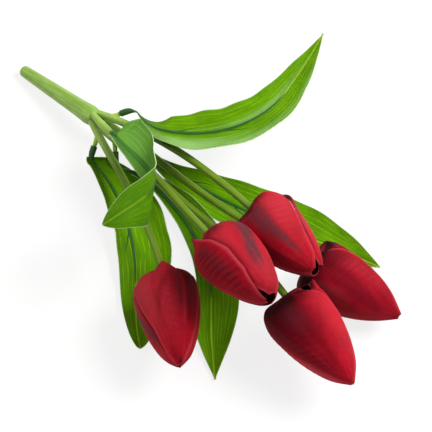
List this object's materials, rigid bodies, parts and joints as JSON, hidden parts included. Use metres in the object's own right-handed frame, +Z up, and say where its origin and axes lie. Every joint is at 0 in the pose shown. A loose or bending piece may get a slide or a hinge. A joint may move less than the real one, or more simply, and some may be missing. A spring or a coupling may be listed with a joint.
{
  "type": "artificial tulip bouquet",
  "caption": "Artificial tulip bouquet: moulded trunk, wired stems that bend at its crown, red fabric flower heads that twist and glossy green leaves that swivel on pegs.",
  "frame": {"origin": "on the table, under the middle of the bouquet's box as it lies", "axes": "+X from the trunk's butt to the flowers, +Y to the left of that, +Z up from the table"},
  "size_m": [0.3526, 0.2628, 0.1021],
  "materials": {
    "trunk": "matte",
    "stem": "satin",
    "wire": "satin",
    "leaf_rib": "satin",
    "leaf_blade": "satin",
    "outer_petal": "matte",
    "inner_petal": "matte",
    "flower_seat": "matte"
  },
  "bodies": {
    "trunk": {"trunk": "trunk", "trunk_wires": "wire"},
    "stem_1": {"stem_1": "stem", "stem_wire_1": "wire"},
    "stem_2": {"stem_2": "stem", "stem_wire_2": "wire"},
    "stem_3": {"stem_3": "stem", "stem_wire_3": "wire"},
    "stem_4": {"stem_4": "stem", "stem_wire_4": "wire"},
    "stem_5": {"stem_5": "stem", "stem_wire_5": "wire"},
    "leaf_1": {"leaf_rib_1": "leaf_rib", "leaf_blade_1": "leaf_blade"},
    "leaf_2": {"leaf_rib_2": "leaf_rib", "leaf_blade_2": "leaf_blade"},
    "leaf_3": {"leaf_rib_3": "leaf_rib", "leaf_blade_3": "leaf_blade"},
    "leaf_4": {"leaf_rib_4": "leaf_rib", "leaf_blade_4": "leaf_blade"},
    "leaf_5": {"leaf_rib_5": "leaf_rib", "leaf_blade_5": "leaf_blade"},
    "flower_1": {"flower_seat_1": "flower_seat", "outer_petal_1a": "outer_petal", "outer_petal_1b": "outer_petal", "outer_petal_1c": "outer_petal", "inner_petal_1a": "inner_petal", "inner_petal_1b": "inner_petal", "inner_petal_1c": "inner_petal"},
    "flower_2": {"flower_seat_2": "flower_seat", "outer_petal_2a": "outer_petal", "outer_petal_2b": "outer_petal", "outer_petal_2c": "outer_petal", "inner_petal_2a": "inner_petal", "inner_petal_2b": "inner_petal", "inner_petal_2c": "inner_petal"},
    "flower_3": {"flower_seat_3": "flower_seat", "outer_petal_3a": "outer_petal", "outer_petal_3b": "outer_petal", "outer_petal_3c": "outer_petal", "inner_petal_3a": "inner_petal", "inner_petal_3b": "inner_petal", "inner_petal_3c": "inner_petal"},
    "flower_4": {"flower_seat_4": "flower_seat", "outer_petal_4a": "outer_petal", "outer_petal_4b": "outer_petal", "outer_petal_4c": "outer_petal", "inner_petal_4a": "inner_petal", "inner_petal_4b": "inner_petal", "inner_petal_4c": "inner_petal"},
    "flower_5": {"flower_seat_5": "flower_seat", "outer_petal_5a": "outer_petal", "outer_petal_5b": "outer_petal", "outer_petal_5c": "outer_petal", "inner_petal_5a": "inner_petal", "inner_petal_5b": "inner_petal", "inner_petal_5c": "inner_petal"}
  },
  "joints": [
    {"name": "stem_1_bend", "type": "hinge", "parent": "trunk", "child": "stem_1", "pos_m": [-0.09724, -0.02383, 0.01976], "axis": [0.1843, -0.2588, -0.9482], "range_deg": [-2, 25]},
    {"name": "stem_2_bend", "type": "hinge", "parent": "trunk", "child": "stem_2", "pos_m": [-0.098, -0.02021, 0.02371], "axis": [0, -1, 0], "range_deg": [0, 25]},
    {"name": "stem_3_bend", "type": "hinge", "parent": "trunk", "child": "stem_3", "pos_m": [-0.09759, -0.01527, 0.02155], "axis": [-0.1349, -0.7071, 0.6941], "range_deg": [0, 25]},
    {"name": "stem_4_bend", "type": "hinge", "parent": "trunk", "child": "stem_4", "pos_m": [-0.09635, -0.02112, 0.01516], "axis": [0.1652, -0.5, -0.8501], "range_deg": [0, 5]},
    {"name": "stem_5_bend", "type": "hinge", "parent": "trunk", "child": "stem_5", "pos_m": [-0.09656, -0.01583, 0.01627], "axis": [-0.1843, -0.2588, 0.9482], "range_deg": [0, 25]},
    {"name": "leaf_1_swivel", "type": "hinge", "parent": "stem_1", "child": "leaf_1", "pos_m": [-0.08043, -0.04054, 0.0155], "axis": [0.2962, -0.8138, -0.5], "range_deg": [-1, 2]},
    {"name": "leaf_2_swivel", "type": "hinge", "parent": "stem_2", "child": "leaf_2", "pos_m": [-0.06635, -0.03067, 0.04566], "axis": [0.4589, -0.265, 0.848], "range_deg": [-20, 12]},
    {"name": "leaf_3_swivel", "type": "hinge", "parent": "stem_3", "child": "leaf_3", "pos_m": [-0.07864, -0.00485, 0.03148], "axis": [0.6133, 0.6351, 0.4695], "range_deg": [-5, 7]},
    {"name": "leaf_4_swivel", "type": "hinge", "parent": "stem_4", "child": "leaf_4", "pos_m": [-0.06531, -0.0319, 0.01344], "axis": [0.6645, -0.6645, -0.342], "range_deg": [0, 8]},
    {"name": "leaf_5_swivel", "type": "hinge", "parent": "stem_5", "child": "leaf_5", "pos_m": [-0.06383, -0.01077, 0.00891], "axis": [0.7698, 0.2802, -0.5736], "range_deg": [-20, 0]},
    {"name": "flower_1_twist", "type": "hinge", "parent": "stem_1", "child": "flower_1", "pos_m": [0.03401, -0.08644, 0.03338], "axis": [0.7837, -0.6123, 0.1045], "continuous": true},
    {"name": "flower_2_twist", "type": "hinge", "parent": "stem_2", "child": "flower_2", "pos_m": [0.05486, -0.05666, 0.07427], "axis": [0.9336, -0.207, 0.2924], "continuous": true},
    {"name": "flower_3_twist", "type": "hinge", "parent": "stem_3", "child": "flower_3", "pos_m": [0.05413, -0.01523, 0.05671], "axis": [0.9794, -0.1464, 0.1392], "continuous": true},
    {"name": "flower_4_twist", "type": "hinge", "parent": "stem_4", "child": "flower_4", "pos_m": [0.10897, -0.04457, 0.04364], "axis": [0.9666, -0.241, -0.0872], "continuous": true},
    {"name": "flower_5_twist", "type": "hinge", "parent": "stem_5", "child": "flower_5", "pos_m": [0.09765, -0.00763, 0.02619], "axis": [0.9827, 0.1469, -0.1132], "continuous": true}
  ]
}
